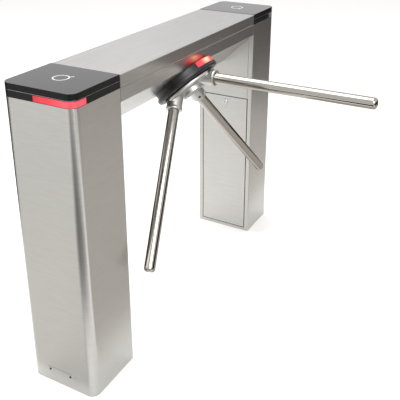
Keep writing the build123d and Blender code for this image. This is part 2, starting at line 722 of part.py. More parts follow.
with BuildPart() as end_brackets:
    with BuildSketch(ACROSS):
        add(bridge_outline(BODY_TOP - JOGGLE_H / 2 + SHEET, SHEET))
        with Locations(BRIDGE_BOLTS):
            Circle(BOLT_R, mode=Mode.SUBTRACT)
        with Locations((WIRE_HOLE[0], HEIGHT + WIRE_HOLE[1])):
            Circle(WIRE_HOLE[2], mode=Mode.SUBTRACT)
    extrude(amount=BRACKET_PLATE_T)
    mirror(about=Plane.YZ)
save(end_brackets.part, "end_brackets")

with BuildPart() as bridge_bolts:
    with BuildSketch(ACROSS.offset(BRACKET_PLATE_T)):
        with Locations(BRIDGE_BOLTS):
            RegularPolygon(BOLT_HEAD_R, 6)
    extrude(amount=BOLT_HEAD_H)
    with BuildSketch(ACROSS.offset(BRACKET_PLATE_T)):
        with Locations(BRIDGE_BOLTS):
            Circle(BOLT_R)
    extrude(amount=-(BRACKET_PLATE_T + 2 * SHEET + 2 * BOLT_HEAD_H))
    with BuildSketch(ACROSS.offset(-2 * SHEET)):
        with Locations(BRIDGE_BOLTS):
            RegularPolygon(BOLT_HEAD_R, 6)
    extrude(amount=-BOLT_HEAD_H)
    mirror(about=Plane.YZ)
save(bridge_bolts.part, "bridge_bolts")

# === fixed part of the mechanism ===================================================================
with BuildPart() as mech_plate:
    with BuildSketch(HUB.offset(PLATE_BACK)):
        with Locations((0, MECH_PLATE_U)):
            Rectangle(*MECH_PLATE)
        Circle(HOUSING_R, mode=Mode.SUBTRACT)
        with Locations(STUDS):
            Circle(STUD_R, mode=Mode.SUBTRACT)
        with PolarLocations(HOUSING_SCREW_PCR, 4, start_angle=45):
            Circle(HOUSING_SCREW_R, mode=Mode.SUBTRACT)
    extrude(amount=MECH_PLATE_T)
save(mech_plate.part, "mech_plate")

with BuildPart() as bearing_housing:
    with BuildSketch(HUB.offset(HOUSING_BACK)):
        Circle(HOUSING_R)
        Circle(HOUSING_BORE_R, mode=Mode.SUBTRACT)
    extrude(amount=SLOPE_IN - HOUSING_BACK)
    with BuildSketch(HUB.offset(PLATE_BACK - HOUSING_FLANGE_T)):
        Circle(HOUSING_FLANGE_R)
        Circle(HOUSING_BORE_R, mode=Mode.SUBTRACT)
        with PolarLocations(HOUSING_SCREW_PCR, 4, start_angle=45):
            Circle(HOUSING_SCREW_R, mode=Mode.SUBTRACT)
    extrude(amount=HOUSING_FLANGE_T)
    with BuildSketch(HUB.offset(BEARING_FRONT)):
        Circle(BEARING_OUT_R)
    extrude(amount=SLOPE_IN - BEARING_FRONT, mode=Mode.SUBTRACT)
    with BuildSketch(HUB.offset(HOUSING_BACK)):
        Circle(BEARING_OUT_R)
    extrude(amount=SHEET + BEARING_T, mode=Mode.SUBTRACT)
save(bearing_housing.part, "bearing_housing")

with BuildPart() as bearing_outer_rings:
    for w in (BEARING_FRONT, REAR_BEARING):
        with BuildSketch(HUB.offset(w)):
            Circle(BEARING_OUT_R)
            Circle(BEARING_OUT_R - RACE_T, mode=Mode.SUBTRACT)
        extrude(amount=BEARING_T)
        for shield in (w, w + BEARING_T - SHIELD_T):
            with BuildSketch(HUB.offset(shield)):
                Circle(BEARING_OUT_R - RACE_T)
                Circle(BEARING_IN_R + RACE_T + SHIELD_GAP, mode=Mode.SUBTRACT)
            extrude(amount=SHIELD_T)
save(bearing_outer_rings.part, "bearing_outer_rings")

with BuildPart() as bearing_inner_rings:
    for w in (BEARING_FRONT, REAR_BEARING):
        with BuildSketch(HUB.offset(w)):
            Circle(BEARING_IN_R + RACE_T)
            Circle(BEARING_IN_R, mode=Mode.SUBTRACT)
        extrude(amount=BEARING_T)
save(bearing_inner_rings.part, "bearing_inner_rings")

with BuildPart() as plate_pillars:
    with BuildSketch(HUB.offset(REAR_PLATE_W)):
        with Locations(PILLARS):
            Circle(PILLAR_R)
    extrude(amount=PLATE_BACK - REAR_PLATE_W)
save(plate_pillars.part, "plate_pillars")

PAWL_SPOTS = [(PAWL_PIVOT[0], PAWL_PIVOT[1]), (-PAWL_PIVOT[0], PAWL_PIVOT[1])]
with BuildPart() as rear_plate:
    with BuildSketch(HUB.offset(REAR_PLATE_W)):
        with Locations((0, REAR_PLATE_U)):
            Rectangle(*REAR_PLATE)
        Circle(REAR_PLATE_HOLE_R, mode=Mode.SUBTRACT)
    extrude(amount=-REAR_PLATE_T)
    with BuildSketch(HUB.offset(REAR_FACE)):
        with Locations(PAWL_SPOTS):
            Circle(PAWL_PIN_R)
    extrude(amount=DISC_W[0] - REAR_FACE - FORK_T)
save(rear_plate.part, "rear_plate")

with BuildPart() as mechanism_screws:
    with BuildSketch(HUB.offset(SLOPE_IN - MECH_PLATE_T)):
        with Locations(STUDS):
            RegularPolygon(2 * STUD_R, 6)
            Circle(STUD_R, mode=Mode.SUBTRACT)
    extrude(amount=-STUD_NUT_H)
    with BuildSketch(HUB.offset(PLATE_BACK - HOUSING_FLANGE_T)):
        with PolarLocations(HOUSING_SCREW_PCR, 4, start_angle=45):
            Circle(HOUSING_HEAD[0])
    extrude(amount=-HOUSING_HEAD[1])
    with BuildSketch(HUB.offset(PLATE_BACK - HOUSING_FLANGE_T)):
        with PolarLocations(HOUSING_SCREW_PCR, 4, start_angle=45):
            Circle(HOUSING_SCREW_R)
    extrude(amount=HOUSING_FLANGE_T + MECH_PLATE_T)
    with BuildSketch(HUB.offset(REAR_FACE)):
        with Locations(PILLARS):
            RegularPolygon(PILLAR_R, 6)
    extrude(amount=-PILLAR_NUT_H)
    with BuildSketch(HUB.offset(SHROUD_FRONT - SCREW_HEAD_H)):
        with PolarLocations(SHROUD_POST_PCR, 4, start_angle=45):
            Circle(SCREW_HEAD_R)
    extrude(amount=SCREW_HEAD_H)
save(mechanism_screws.part, "mechanism_screws")

with BuildPart() as rotary_damper:
    with BuildSketch(HUB.offset(DAMPER_W[0])):
        with Locations((0, -GEAR_DISTANCE)):
            Circle(DAMPER_R)
    extrude(amount=DAMPER_W[1] - DAMPER_W[0])
    with BuildSketch(HUB.offset(DAMPER_W[1])):
        with Locations((0, -GEAR_DISTANCE)):
            Circle(DAMPER_FOOT_R)
    extrude(amount=PLATE_BACK - DAMPER_W[1])
    with BuildSketch(HUB.offset(DAMPER_W[0])):
        with Locations((0, -GEAR_DISTANCE)):
            Circle(DAMPER_SHAFT_R + RUN_FIT)
    extrude(amount=DAMPER_BORE_L, mode=Mode.SUBTRACT)
save(rotary_damper.part, "rotary_damper")

with BuildPart() as damper_pinion:
    with BuildSketch(PINION.offset(GEAR_W[0])):
        with BuildLine():
            Polyline(*gear_outline(PINION_TEETH, 180 / PINION_TEETH), close=True)
        make_face()
    extrude(amount=GEAR_W[1] - GEAR_W[0])
    with BuildSketch(PINION.offset(GEAR_W[1])):
        Circle(DAMPER_SHAFT_R)
    extrude(amount=DAMPER_W[0] - GEAR_W[1] + PINION_STUB_L)
save(damper_pinion.part, "damper_pinion")

with BuildPart() as solenoids:
    x_from, x_to, tall, deep = SOLENOID
    with BuildSketch(HUB.offset(REAR_FACE)):
        with Locations(((x_from + x_to) / 2, LINK[1])):
            Rectangle(x_to - x_from, tall)
    extrude(amount=-deep)
    plunger_axis = Plane(
        origin=HUB.from_local_coords(Vector(x_from, LINK[1], DISC_MID)), z_dir=(1, 0, 0)
    )
    with BuildSketch(plunger_axis):
        Circle(PLUNGER_R + RUN_FIT)
    extrude(amount=x_to - x_from - SOLENOID_END_T, mode=Mode.SUBTRACT)
    mirror(about=Plane.YZ)
save(solenoids.part, "solenoids")

with BuildPart() as position_sensor:
    jaw_out = DISC_R + SENSOR_CLEAR
    inner_jaw = SENSOR_DISC_W[1] + SENSOR_JAW_GAP
    outer_jaw = SENSOR_DISC_W[0] - SENSOR_JAW_GAP - SENSOR_JAW_T[1]
    with BuildSketch(HUB.offset(REAR_FACE)):
        with Locations((0, -jaw_out)):
            Rectangle(SENSOR_W, SENSOR_BODY, align=(Align.CENTER, Align.MAX))
    extrude(amount=outer_jaw - REAR_FACE)
    for start, thick in ((inner_jaw, SENSOR_JAW_T[0]), (outer_jaw, SENSOR_JAW_T[1])):
        with BuildSketch(HUB.offset(start)):
            with Locations((0, -jaw_out)):
                Rectangle(SENSOR_W, SENSOR_JAW_L, align=(Align.CENTER, Align.MIN))
        extrude(amount=thick)
save(position_sensor.part, "position_sensor")

# === pawls and plungers ============================================================================
with BuildPart() as pawl:
    bar_in, bar_out, bar_foot = PAWL_BAR
    with BuildSketch(HUB.offset(DISC_W[0])):
        with BuildLine():
            Polyline(
                (PAWL_PIVOT[0] - PAWL_BOSS_R / 2, PAWL_PIVOT[1]), (bar_in, PAWL_SHOULDER),
                (bar_in, PAWL_NOSE_HALF), (DISC_R + PAWL_CLEAR, PAWL_NOSE_HALF - PAWL_DRAFT),
                (DISC_R + PAWL_CLEAR, -PAWL_NOSE_HALF), (bar_in, -PAWL_NOSE_HALF - PAWL_HEEL),
                (bar_in, bar_foot), (bar_out, bar_foot), (bar_out, PAWL_SHOULDER),
                (PAWL_PIVOT[0] + PAWL_BOSS_R - PAWL_DRAFT, PAWL_PIVOT[1]), close=True,
            )
        make_face()
        with Locations(PAWL_PIVOT):
            Circle(PAWL_BOSS_R)
            Circle(PAWL_PIN_R + RUN_FIT, mode=Mode.SUBTRACT)
    extrude(amount=DISC_T)
    with BuildSketch(HUB.offset(DISC_W[0] - FORK_GAP - FORK_T)):
        with Locations(LINK):
            Circle(LINK_PIN_R)
    extrude(amount=DISC_T + 2 * (FORK_GAP + FORK_T))
save(pawl.part, "pawl_right")
save(mirror(pawl.part, about=Plane.YZ), "pawl_left")

with BuildPart() as plunger:
    fork_in, web_in, web_out = FORK_X
    for w in (DISC_W[0] - FORK_GAP - FORK_T, DISC_W[1] + FORK_GAP):
        with BuildSketch(HUB.offset(w)):
            with Locations((fork_in, LINK[1])):
                Rectangle(web_in - fork_in, 2 * FORK_HALF, align=(Align.MIN, Align.CENTER))
            with Locations(LINK):
                SlotOverall(
                    2 * (LINK_PIN_R + 3 * LINK_SLOT_GAP), 2 * (LINK_PIN_R + LINK_SLOT_GAP), rotation=90,
                    mode=Mode.SUBTRACT,
                )
        extrude(amount=FORK_T)
    with BuildSketch(HUB.offset(DISC_W[0] - FORK_GAP - FORK_T)):
        with Locations((web_in, LINK[1])):
            Rectangle(web_out - web_in, 2 * FORK_HALF, align=(Align.MIN, Align.CENTER))
    extrude(amount=DISC_T + 2 * (FORK_GAP + FORK_T))
    rod_start = HUB.from_local_coords(Vector(web_out, LINK[1], DISC_MID))
    with BuildSketch(Plane(origin=rod_start, z_dir=(1, 0, 0))):
        Circle(PLUNGER_R)
    extrude(amount=PLUNGER_END - web_out)
save(plunger.part, "plunger_right")
save(mirror(plunger.part, about=Plane.YZ), "plunger_left")

# === shroud ========================================================================================
with BuildPart() as shroud:
    with BuildSketch(HUB.offset(APEX_INSET + SHROUD_NECK_T)):
        Circle(SHROUD_R)
    extrude(amount=SHROUD_T - SHROUD_NECK_T)
    front_rim = shroud.faces().filter_by(GeomType.PLANE).sort_by(Axis.Z)[0].edges()
    fillet(front_rim, SHROUD_EDGE_R)
    with BuildSketch(HUB.offset(APEX_INSET)):
        Circle(SHROUD_NECK_R)
    extrude(amount=SHROUD_NECK_T)
    with BuildSketch(HUB.offset(APEX_INSET)):
        Circle(SHROUD_NECK_R - SHROUD_WALL)
    extrude(amount=SHROUD_T - SHROUD_WALL, mode=Mode.SUBTRACT)
    with BuildSketch(HUB.offset(APEX_INSET)):
        with PolarLocations(SHROUD_POST_PCR, 4, start_angle=45):
            Circle(SHROUD_POST_R)
    extrude(amount=SHROUD_T - SHROUD_WALL)
    with BuildSketch(HUB.offset(APEX_INSET)):
        Circle(SHROUD_HOLE_R)
    extrude(amount=SHROUD_T, mode=Mode.SUBTRACT)
    with BuildSketch(HUB.offset(APEX_INSET)):
        add(indicator_outline())
    extrude(amount=SHROUD_NECK_T, mode=Mode.SUBTRACT)
    with BuildSketch(HUB.offset(SHROUD_FRONT - SCREW_HEAD_H)):
        with PolarLocations(SHROUD_POST_PCR, 4, start_angle=45):
            Circle(SCREW_HEAD_R)
    extrude(amount=SCREW_HEAD_H, mode=Mode.SUBTRACT)
save(shroud.part, "shroud")

with BuildPart() as indicator_lens:
    with BuildSketch(HUB.offset(APEX_INSET)):
        add(indicator_outline())
    extrude(amount=SHROUD_NECK_T)
save(indicator_lens.part, "indicator_lens")

# === rotor =========================================================================================
with BuildPart() as shaft:
    with BuildSketch(HUB.offset(SHAFT_BACK)):
        Circle(BEARING_IN_R)
    extrude(amount=HUB_BACK - SHAFT_BACK)
    with BuildSketch(HUB.offset(HUB_BACK - SHAFT_FLANGE_T)):
        Circle(SHAFT_FLANGE_R)
    extrude(amount=SHAFT_FLANGE_T)
    with BuildSketch(HUB.offset(HUB_BACK)):
        with PolarLocations(HUB_BOLT_PCR, 6, start_angle=30):
            Circle(HUB_BOLT_R)
    extrude(amount=-SHAFT_FLANGE_T, mode=Mode.SUBTRACT)
save(shaft.part, "shaft")

with BuildPart() as hub:
    with BuildSketch(HUB.offset(HUB_BACK)):
        Circle(HUB_R)
    extrude(amount=HUB_RIM_T)
    fillet(hub.edges().filter_by(GeomType.CIRCLE), HUB_RIM_FILLET)
    with BuildSketch(HUB.offset(HUB_BACK + HUB_RIM_T)):
        Circle(HUB_BOSS_R)
    extrude(amount=HUB_BOSS_H)
    for turn in ARM_TURNS:
        with BuildSketch(arm_plane(turn).offset(SOCKET_FROM)):
            Circle(SOCKET_R)
        extrude(amount=SOCKET_TO - SOCKET_FROM)
        with BuildSketch(arm_plane(turn).offset(SOCKET_TO - COLLAR_L)):
            Circle(COLLAR_R)
        extrude(amount=COLLAR_L)
    split(bisect_by=HUB.offset(HUB_BACK), keep=Keep.TOP)
    for turn in ARM_TURNS:
        with BuildSketch(arm_plane(turn).offset(ARM_FROM)):
            Circle(ARM_R + ARM_SEAT)
        extrude(amount=SOCKET_TO - ARM_FROM + COLLAR_L, mode=Mode.SUBTRACT)
        with BuildSketch(screw_plane(turn)):
            Circle(ARM_SCREW_R)
        extrude(amount=COLLAR_R, mode=Mode.SUBTRACT)
    with BuildSketch(HUB.offset(HUB_BACK)):
        with PolarLocations(HUB_BOLT_PCR, 6, start_angle=30):
            Circle(HUB_BOLT_R)
        with PolarLocations(RIM_HOLE_PCR, 3, start_angle=30):
            Circle(RIM_HOLE_R)
    extrude(amount=HUB_RIM_T + HUB_BOSS_H, mode=Mode.SUBTRACT)
    with BuildSketch(HUB.offset(HUB_BACK + HUB_RIM_T + HUB_BOSS_H - HUB_BOLT_HEAD_H)):
        with PolarLocations(HUB_BOLT_PCR, 6, start_angle=30):
            Circle(HUB_BOLT_HEAD_R)
    extrude(amount=HUB_BOLT_HEAD_H, mode=Mode.SUBTRACT)
save(hub.part, "hub")

with BuildPart() as hub_bolts:
    head_seat = HUB_BACK + HUB_RIM_T + HUB_BOSS_H - HUB_BOLT_HEAD_H
    with BuildSketch(HUB.offset(HUB_BACK - SHAFT_FLANGE_T)):
        with PolarLocations(HUB_BOLT_PCR, 6, start_angle=30):
            Circle(HUB_BOLT_R)
    extrude(amount=head_seat - HUB_BACK + SHAFT_FLANGE_T)
    with BuildSketch(HUB.offset(head_seat)):
        with PolarLocations(HUB_BOLT_PCR, 6, start_angle=30):
            Circle(HUB_BOLT_HEAD_R)
    extrude(amount=HUB_BOLT_HEAD_H)
    with BuildSketch(HUB.offset(head_seat + HUB_BOLT_HEAD_H)):
        with PolarLocations(HUB_BOLT_PCR, 6, start_angle=30):
            RegularPolygon(HUB_BOLT_R, 6)
    extrude(amount=-HUB_BOLT_HEAD_H / 2, mode=Mode.SUBTRACT)
save(hub_bolts.part, "hub_bolts")

for number, turn in enumerate(ARM_TURNS, start=1):
    with BuildPart() as arm:
        with BuildSketch(arm_plane(turn).offset(ARM_FROM)):
            Circle(ARM_R)
            Circle(ARM_R - ARM_WALL, mode=Mode.SUBTRACT)
        extrude(amount=ARM_REACH - ARM_CAP_T - ARM_FROM)
        with BuildSketch(screw_plane(turn)):
            Circle(ARM_SCREW_R)
        extrude(amount=COLLAR_R, mode=Mode.SUBTRACT)
    save(arm.part, f"arm_{number}")

with BuildPart() as arm_end_caps:
    for turn in ARM_TURNS:
        with BuildSketch(arm_plane(turn).offset(ARM_REACH - ARM_CAP_T - ARM_PLUG_L)):
            Circle(ARM_R - ARM_WALL)
        extrude(amount=ARM_PLUG_L)
        with BuildSketch(arm_plane(turn).offset(ARM_REACH - ARM_CAP_T)):
            Circle(ARM_R)
        extrude(amount=ARM_CAP_T)
    domes = [
        arm_end_caps.faces().filter_by(GeomType.PLANE).sort_by_distance(tip)[0].edges()
        for tip in (HUB.origin + arm_plane(turn).z_dir * ARM_REACH for turn in ARM_TURNS)
    ]
    for rim in domes:
        fillet(rim, ARM_CAP_T * 0.9)
save(arm_end_caps.part, "arm_end_caps")

with BuildPart() as arm_screws:
    for turn in ARM_TURNS:
        with BuildSketch(screw_plane(turn).offset(ARM_R - 2 * ARM_WALL)):
            Circle(ARM_SCREW_R)
        extrude(amount=SOCKET_R - ARM_R + 2 * ARM_WALL)
        with BuildSketch(screw_plane(turn).offset(SOCKET_R)):
            RegularPolygon(ARM_SCREW_R / 2, 6)
        extrude(amount=-ARM_WALL, mode=Mode.SUBTRACT)
save(arm_screws.part, "arm_screws")

with BuildPart() as drive_gear:
    with BuildSketch(HUB.offset(GEAR_W[0])):
        with BuildLine():
            Polyline(*gear_outline(GEAR_TEETH, 90), close=True)
        make_face()
        Circle(BEARING_IN_R, mode=Mode.SUBTRACT)
        with PolarLocations((BEARING_IN_R + DISC_R) / 2, 6):
            Circle(BEARING_IN_R / 2, mode=Mode.SUBTRACT)
    extrude(amount=GEAR_W[1] - GEAR_W[0])
save(drive_gear.part, "drive_gear")

with BuildPart() as index_disc:
    with BuildSketch(HUB.offset(DISC_W[0])):
        Circle(DISC_R)
        with PolarLocations(DISC_R, NOTCHES):
            Rectangle(2 * NOTCH_DEPTH, NOTCH_W, mode=Mode.SUBTRACT)
        Circle(BEARING_IN_R, mode=Mode.SUBTRACT)
    extrude(amount=DISC_T)
save(index_disc.part, "index_disc")

with BuildPart() as sensor_disc:
    with BuildSketch(HUB.offset(SENSOR_DISC_W[0])):
        Circle(SENSOR_DISC_R)
        with PolarLocations(SENSOR_DISC_R, 6):
            Rectangle(2 * NOTCH_DEPTH, NOTCH_W / 2, mode=Mode.SUBTRACT)
        Circle(BEARING_IN_R, mode=Mode.SUBTRACT)
    extrude(amount=SENSOR_DISC_W[1] - SENSOR_DISC_W[0])
save(sensor_disc.part, "sensor_disc")

with BuildPart() as shaft_spacers:
    gaps = [(GEAR_W[1], REAR_BEARING), (DISC_W[1], GEAR_W[0]), (SENSOR_DISC_W[1], DISC_W[0])]
    for start, end in gaps:
        with BuildSketch(HUB.offset(start)):
            Circle(SPACER_R)
            Circle(BEARING_IN_R, mode=Mode.SUBTRACT)
        extrude(amount=end - start)
    with BuildSketch(HUB.offset(SHAFT_NUT_W[0])):
        RegularPolygon(SPACER_R + SHEET, 6)
        Circle(BEARING_IN_R, mode=Mode.SUBTRACT)
    extrude(amount=SHAFT_NUT_W[1] - SHAFT_NUT_W[0])
save(shaft_spacers.part, "shaft_spacers")
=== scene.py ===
"""Looks of the visitor counter turnstile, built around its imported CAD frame.

Every length is in metres, in the CAD frame: X along the bridge, arms towards -Y, Z up.
"""

import json
import logging
import math
from dataclasses import dataclass
from enum import Enum

import bpy
from mathutils import Matrix, Vector


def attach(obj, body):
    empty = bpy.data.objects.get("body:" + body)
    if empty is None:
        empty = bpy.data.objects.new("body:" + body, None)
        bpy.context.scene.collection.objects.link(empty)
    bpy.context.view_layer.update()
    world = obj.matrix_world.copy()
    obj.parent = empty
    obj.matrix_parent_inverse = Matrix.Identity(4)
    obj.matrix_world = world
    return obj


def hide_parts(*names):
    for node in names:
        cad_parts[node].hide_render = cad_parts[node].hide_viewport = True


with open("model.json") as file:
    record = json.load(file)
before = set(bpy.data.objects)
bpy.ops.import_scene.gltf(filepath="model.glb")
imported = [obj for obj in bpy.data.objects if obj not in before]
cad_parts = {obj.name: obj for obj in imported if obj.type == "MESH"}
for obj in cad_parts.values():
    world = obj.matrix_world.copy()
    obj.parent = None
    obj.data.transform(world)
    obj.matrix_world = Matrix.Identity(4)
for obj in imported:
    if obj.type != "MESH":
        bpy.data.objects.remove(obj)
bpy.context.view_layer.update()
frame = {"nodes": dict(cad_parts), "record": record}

logging.basicConfig(level=logging.INFO, format="%(message)s")
log = logging.getLogger("turnstile")

MM = 0.001
Point = tuple[float, float, float]

JOIN_MM = 0.005  # corners closer than this are one corner
FLAT = math.radians(0.3)  # faces that meet flatter than this are one face
SMOOTH = math.radians(30)  # edges flatter than this shade smoothly
SHARP = math.radians(40)  # edges sharper than this are eased
FACING_UP = 0.75  # least upward slope of a normal that counts as a top face


def linear(colour: str) -> tuple[float, float, float, float]:
    """Turns an sRGB hex colour into linear RGBA.

    Args:
        colour: Six hex digits with a leading #.

    Returns:
        Linear red, green, blue and an alpha of 1.
    """
    channels = [int(colour[i : i + 2], 16) / 255 for i in (1, 3, 5)]
    bent = [c / 12.92 if c <= 0.04045 else ((c + 0.055) / 1.055) ** 2.4 for c in channels]
    return (bent[0], bent[1], bent[2], 1.0)


def add_node(
    tree: bpy.types.NodeTree, kind: str, values: dict | None = None, links: dict | None = None, **settings
) -> bpy.types.Node:
    """Adds a shader node with its settings, socket values and incoming links.

    Args:
        tree: The tree that gets the node.
        kind: The node's type name.
        values: Socket name or number to constant.
        links: Socket name or number to the output socket that feeds it.
        **settings: Properties of the node itself.

    Returns:
        The new node.
    """
    new = tree.nodes.new(kind)
    for name, value in settings.items():
        setattr(new, name, value)
    for socket, value in (values or {}).items():
        new.inputs[socket].default_value = value
    for socket, source in (links or {}).items():
        tree.links.new(source, new.inputs[socket])
    return new


class Grain(Enum):
    """Which way a surface's marks run, as the squeeze of the pattern along X, Y and Z."""

    LEVEL = (1.0, 1.0, 60.0)
    ALONG_X = (1.0, 60.0, 60.0)
    EVEN = (1.0, 1.0, 1.0)


MARK_DETAIL = 6.0
MARK_SHARPNESS = 0.6
DARK_END, LIGHT_END = 0.3, 0.7  # where the pattern reaches its two colours
RELIEF = 0.2 * MM  # height of the marks that the bump stands for
ACROSS = 0.25  # quarter turn of the scatter, from along the level brushing to across it
GLOW_RING = 0.55  # how near the lamp, as a share of its reach, the lens has its own glow colour


@dataclass(frozen=True)
class Finish:
    """A surface finish: base colour, how it varies, how it reflects and how rough it feels.

    Attributes:
        name: Material name.
        dark: Hex colour of the darker patches.
        light: Hex colour of the lighter patches.
        metallic: 1 for bare metal, 0 for the rest.
        rough: Lowest and highest roughness.
        mark_mm: Size of the pattern across its grain, in millimetres.
        grain: Direction of the pattern.
        bump: Strength of the relief.
        specular: Strength of the mirror reflection of a non-metal.
        ior: Index of refraction of a non-metal.
        glow: Hex colour of the light it gives off, or an empty string.
        glow_strength: Strength of that light.
        lamp: Place of the lamp behind the lens, where the light is strongest, or None.
        lamp_reach: How far that light fades over, in metres.
        lamp_core: Hex colour of the light right over the lamp.
        brushed: How much more the surface scatters across its level brushing than along it.
    """

    name: str
    dark: str
    light: str
    metallic: float = 0.0
    rough: tuple[float, float] = (0.4, 0.5)
    mark_mm: float = 2.0
    grain: Grain = Grain.EVEN
    bump: float = 0.05
    specular: float = 0.5
    ior: float = 1.5
    glow: str = ""
    glow_strength: float = 0.0
    lamp: Point | None = None
    lamp_reach: float = 0.05
    lamp_core: str = "#FFFFFF"
    brushed: float = 0.0

    def build(self) -> bpy.types.Material:
        """Makes the material, or returns the one already made.

        Returns:
            The material.
        """
        made = bpy.data.materials.get(self.name)
        if made:
            return made
        material = bpy.data.materials.new(self.name)
        material.use_nodes = True
        tree = material.node_tree
        shader = tree.nodes["Principled BSDF"]
        place = add_node(tree, "ShaderNodeTexCoord")
        stretch = add_node(
            tree, "ShaderNodeMapping", {"Scale": self.grain.value}, {"Vector": place.outputs["Object"]}
        )
        marks = add_node(
            tree, "ShaderNodeTexNoise",
            {
                "Scale": 1.0 / (self.mark_mm * MM * max(self.grain.value)),
                "Detail": MARK_DETAIL,
                "Roughness": MARK_SHARPNESS,
            },
            {"Vector": stretch.outputs["Vector"]},
        )
        colours = add_node(tree, "ShaderNodeValToRGB", links={"Fac": marks.outputs["Fac"]})
        colours.color_ramp.elements[0].position = DARK_END
        colours.color_ramp.elements[1].position = LIGHT_END
        colours.color_ramp.elements[0].color = linear(self.dark)
        colours.color_ramp.elements[1].color = linear(self.light)
        roughness = add_node(
            tree, "ShaderNodeMapRange", {"To Min": self.rough[0], "To Max": self.rough[1]},
            {"Value": marks.outputs["Fac"]},
        )
        relief = add_node(
            tree, "ShaderNodeBump", {"Strength": self.bump, "Distance": RELIEF},
            {"Height": marks.outputs["Fac"]},
        )
        tree.links.new(colours.outputs["Color"], shader.inputs["Base Color"])
        tree.links.new(roughness.outputs["Result"], shader.inputs["Roughness"])
        tree.links.new(relief.outputs["Normal"], shader.inputs["Normal"])
        shader.inputs["Metallic"].default_value = self.metallic
        shader.inputs["IOR"].default_value = self.ior
        shader.inputs["Specular IOR Level"].default_value = self.specular
        shader.inputs["Anisotropic"].default_value = self.brushed
        shader.inputs["Anisotropic Rotation"].default_value = ACROSS if self.brushed else 0.0
        if self.glow:
            shader.inputs["Emission Color"].default_value = linear(self.glow)
            shader.inputs["Emission Strength"].default_value = self.glow_strength
        if self.lamp:
            spot = add_node(
                tree, "ShaderNodeMapping",
                {
                    "Location": tuple(-v / self.lamp_reach for v in self.lamp),
                    "Scale": (1.0 / self.lamp_reach,) * 3,
                },
                {"Vector": place.outputs["Object"]},
            )
            ball = add_node(tree, "ShaderNodeTexGradient", links={"Vector": spot.outputs["Vector"]})
            ball.gradient_type = "SPHERICAL"
            fade = add_node(tree, "ShaderNodeValToRGB", links={"Fac": ball.outputs["Fac"]})
            fade.color_ramp.elements[0].color = linear(self.dark)
            fade.color_ramp.elements[1].color = linear(self.lamp_core)
            fade.color_ramp.elements.new(GLOW_RING).color = linear(self.glow)
            tree.links.new(fade.outputs["Color"], shader.inputs["Emission Color"])
        return material


# Streaks and specks of every finish are coarser than the real ones, which are too fine to show.

# Stainless sheet, brushed level round the post: soft grey, faint level streaks, glints drawn out upright.
POST_STEEL = Finish(
    "brushed_stainless_post", "#BAB8B4", "#C6C5C1", 1.0, (0.26, 0.31), 1.2, Grain.LEVEL, 0.02, brushed=0.85
)
# The same sheet brushed along the bridge: a soft sheen with long streaks.
BRIDGE_STEEL = Finish(
    "brushed_stainless_bridge", "#ADABA8", "#C3C2C0", 1.0, (0.28, 0.36), 1.6, Grain.ALONG_X, 0.05
)
# Polished stainless tube: bright and dark lines along the arm, with a little haze.
TUBE_STEEL = Finish(
    "polished_stainless_tube", "#A39E97", "#B5B1AB", 1.0, (0.07, 0.12), 3.0, Grain.EVEN, 0.02
)
# Sand cast and blasted aluminium: pale, with a broad soft highlight and a fine grain.
CAST_ALUMINIUM = Finish(
    "blasted_cast_aluminium", "#B4B3B0", "#D0CFCD", 1.0, (0.32, 0.45), 1.2, Grain.EVEN, 0.15
)
# Zinc plated steel of brackets and fasteners: cool grey, blotchy sheen.
ZINC = Finish("zinc_plated_steel", "#9FA1A3", "#BDBFC2", 1.0, (0.25, 0.45), 3.0, Grain.EVEN, 0.05)
# Turned and ground steel of shafts, gears and springs: darker, tight highlights.
MACHINED = Finish("turned_steel", "#8C8C8A", "#A9A8A5", 1.0, (0.2, 0.32), 1.0, Grain.EVEN, 0.05)
# Hot dipped base plates: dull, with broad spangle patches.
GALVANISED = Finish("galvanised_plate", "#83878B", "#A3A7AA", 1.0, (0.35, 0.5), 12.0, Grain.EVEN, 0.05)
# Chromed lock faces: the brightest, clearest mirror on the object.
CHROME = Finish("bright_chrome", "#C4C4C4", "#D8D8D8", 1.0, (0.05, 0.1), 4.0, Grain.EVEN, 0.0)
# Blackened screws: near black with a weak metal gleam.
BLACKENED = Finish("blackened_steel", "#1A1A1B", "#2A2A2B", 0.6, (0.3, 0.4), 1.0, Grain.EVEN, 0.05)
# Back-painted glass of the cap: deep black under a clear gloss.
BLACK_GLASS = Finish("black_cap_glass", "#0A0A0B", "#0F0F11", 0.0, (0.04, 0.07), 30.0, Grain.EVEN, 0.0, 0.85)
# The ground edge of that glass, which mirrors far less.
GROUND_EDGE = Finish("ground_glass_edge", "#09090A", "#101012", 0.0, (0.3, 0.4), 2.0, Grain.EVEN, 0.03, 0.2)
# Moulded satin ABS of the cap rings: an even black band without clear reflections.
BLACK_ABS = Finish("satin_black_abs", "#0B0B0C", "#121214", 0.0, (0.32, 0.42), 0.6, Grain.EVEN, 0.08, 0.22)
# The rotor's moulded shroud: the same black with a stronger sheen on its rounded rim.
SHROUD_ABS = Finish("moulded_black_shroud", "#0C0C0D", "#151517", 0.0, (0.3, 0.42), 0.8, Grain.EVEN, 0.12)
# Anodised strip in the cap's seam: a thin grey line in the black.
SEAM_STRIP = Finish("satin_anodised_strip", "#9A9A99", "#B6B6B4", 1.0, (0.3, 0.4), 2.0, Grain.LEVEL, 0.03)
# Silver ink that fills the reader mark: flat and light.
SILVER_INK = Finish("silver_screen_ink", "#B9BABB", "#D0D1D2", 0.0, (0.35, 0.5), 0.5, Grain.EVEN, 0.05)
# Diffusing polycarbonate over red lamps: brightest at the post's corner, deeper red at its ends.
RED_LENS = Finish(
    "lit_red_polycarbonate", "#5E0D16", "#8A1A26", 0.0, (0.15, 0.25), 4.0, Grain.EVEN, 0.02,
    glow="#F02C3C", glow_strength=1.0, lamp=(-0.655, -0.105, 0.969), lamp_reach=0.15, lamp_core="#FF6470",
)
